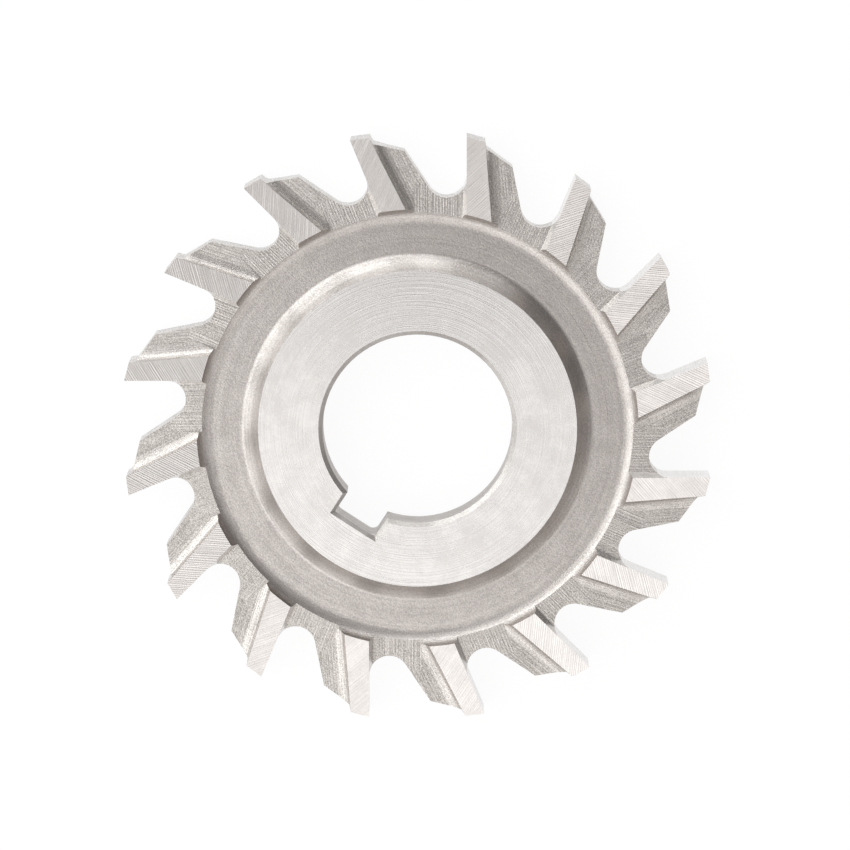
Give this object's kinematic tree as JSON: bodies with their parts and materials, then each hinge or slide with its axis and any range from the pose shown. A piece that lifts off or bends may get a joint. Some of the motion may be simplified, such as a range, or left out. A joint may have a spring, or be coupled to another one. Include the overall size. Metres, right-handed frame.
{
  "type": "side and face cutter",
  "caption": "Disc milling cutter of high-speed steel with teeth on its rim and both sides, a ground hub, a keyed bore and a turned recess on each side.",
  "frame": {"origin": "centre of the bore in the plane of the lower hub face and lower side lands", "axes": "+Z along the bore's axis, +Y through a tooth tip and about through the keyway, cutting direction anticlockwise seen from +Z"},
  "size_m": [0.05, 0.05, 0.004],
  "materials": {
    "ground_high_speed_steel": "finely ground hub and lands, milled gashes, matte turned recess"
  },
  "bodies": {
    "root": {"side_face_cutter": "ground_high_speed_steel"}
  },
  "joints": []
}
